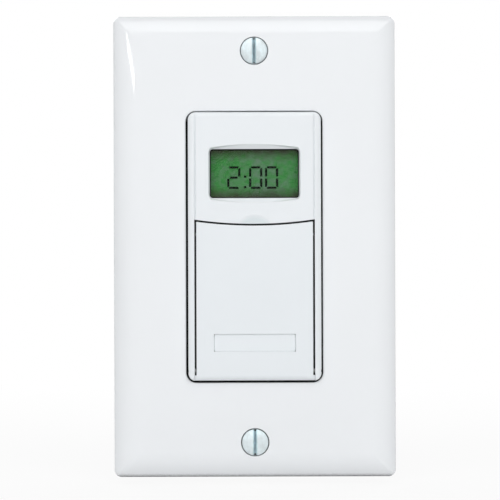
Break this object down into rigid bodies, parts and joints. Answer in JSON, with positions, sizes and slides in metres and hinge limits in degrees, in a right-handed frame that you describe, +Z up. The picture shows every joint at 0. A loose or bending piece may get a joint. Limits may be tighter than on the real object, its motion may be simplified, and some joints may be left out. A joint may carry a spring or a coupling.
{
  "type": "timer light switch",
  "caption": "In-wall timer switch: decorator plate, display window, flip-down door that is also the push plate, keys behind it, steel strap and rear case.",
  "frame": {"origin": "middle of the wall plate's rear rim, on the face of the wall", "axes": "+Z up the wall, -Y out of the wall towards the user, +X to the user's right"},
  "size_m": [0.0698, 0.0396, 0.1142],
  "materials": {
    "plate_plastic": "glossy moulded",
    "bezel_plastic": "satin gloss moulded",
    "door_plastic": "satin gloss moulded",
    "zinc_steel": "zinc plated, lightly brushed",
    "strap_steel": "galvanised",
    "fibre": "pressed fibre",
    "ground_green": "green dyed plating",
    "lens_clear": "clear moulded",
    "lcd_green": "green polariser",
    "holder_plastic": "moulded",
    "contact_rubber": "layered conductive silicone",
    "guide_acrylic": "diffusing acrylic",
    "led_resin": "clear resin",
    "key_plastic": "fine texture",
    "plunger_plastic": "fine texture",
    "reset_plastic": "moulded",
    "stem_plastic": "moulded",
    "switch_plastic": "moulded",
    "board_green": "solder mask on glass laminate",
    "chip_epoxy": "moulded epoxy",
    "can_metal": "drawn can",
    "contact_gold": "flash plated",
    "relay_blue": "moulded",
    "film_yellow": "potted box",
    "sleeve_navy": "shrunk sleeve",
    "varistor_blue": "dipped epoxy",
    "resistor_green": "lacquered",
    "terminal_brass": "stamped",
    "screw_brass": "bright",
    "screw_nickel": "nickel plated",
    "case_plastic": "fine spark texture"
  },
  "bodies": {
    "frame": {"wall_plate": "plate_plastic", "plate_screws": "zinc_steel", "mounting_strap": "strap_steel", "box_screws": "zinc_steel", "screw_retainers": "fibre", "ground_screw": "ground_green", "bezel": "bezel_plastic", "display_lens": "lens_clear", "lcd_panel": "lcd_green", "lcd_holder": "holder_plastic", "zebra_strips": "contact_rubber", "light_guide": "guide_acrylic", "backlight_leds": "led_resin", "switch_bodies": "switch_plastic", "plunger_springs": "zinc_steel", "control_board": "board_green", "microcontroller": "chip_epoxy", "clock_crystal": "can_metal", "board_screws": "zinc_steel", "board_socket": "chip_epoxy", "board_header": "contact_gold", "power_board": "board_green", "relay": "relay_blue", "film_capacitor": "film_yellow", "smoothing_capacitor": "sleeve_navy", "varistor": "varistor_blue", "rectifier": "chip_epoxy", "fuse_resistor": "resistor_green", "power_board_screws": "zinc_steel", "terminal_plates": "terminal_brass", "line_screws": "screw_brass", "neutral_screws": "screw_nickel", "rear_case": "case_plastic", "case_screws": "zinc_steel"},
    "door_pin": {"hinge_pin": "zinc_steel"},
    "door": {"door": "door_plastic"},
    "on_off": {"on_off_plunger": "plunger_plastic", "on_off_stem": "stem_plastic"},
    "set": {"set_key": "key_plastic", "set_stem": "stem_plastic"},
    "minus": {"minus_key": "key_plastic", "minus_stem": "stem_plastic"},
    "plus": {"plus_key": "key_plastic", "plus_stem": "stem_plastic"},
    "reset": {"reset_key": "reset_plastic", "reset_stem": "stem_plastic"}
  },
  "joints": [
    {"name": "door_press", "type": "hinge", "parent": "frame", "child": "door_pin", "pos_m": [0, -0.0064, -0.0307], "axis": [1, 0, 0], "range_deg": [-1, 0], "stiffness_Nm_per_rad": 2, "springref_deg": 1.15},
    {"name": "door_flip", "type": "hinge", "parent": "door_pin", "child": "door", "pos_m": [0, -0.0064, -0.0307], "axis": [1, 0, 0], "range_deg": [0, 110]},
    {"name": "on_off_slide", "type": "slide", "parent": "frame", "child": "on_off", "axis": [0, 1, 0], "range_m": [0, 0.00055], "deforming": ["plunger_springs"]},
    {"name": "set_press", "type": "slide", "parent": "frame", "child": "set", "axis": [0, 1, 0], "range_m": [0, 0.0005], "stiffness_N_per_m": 2000, "springref_m": -0.0003},
    {"name": "minus_press", "type": "slide", "parent": "frame", "child": "minus", "axis": [0, 1, 0], "range_m": [0, 0.0005], "stiffness_N_per_m": 2000, "springref_m": -0.0003},
    {"name": "plus_press", "type": "slide", "parent": "frame", "child": "plus", "axis": [0, 1, 0], "range_m": [0, 0.0005], "stiffness_N_per_m": 2000, "springref_m": -0.0003},
    {"name": "reset_press", "type": "slide", "parent": "frame", "child": "reset", "axis": [0, 1, 0], "range_m": [0, 0.0005], "stiffness_N_per_m": 2000, "springref_m": -0.0003}
  ],
  "couplings": [
    {"joint": "on_off_slide", "follows": "door_press", "m_per_rad": -0.0297}
  ]
}
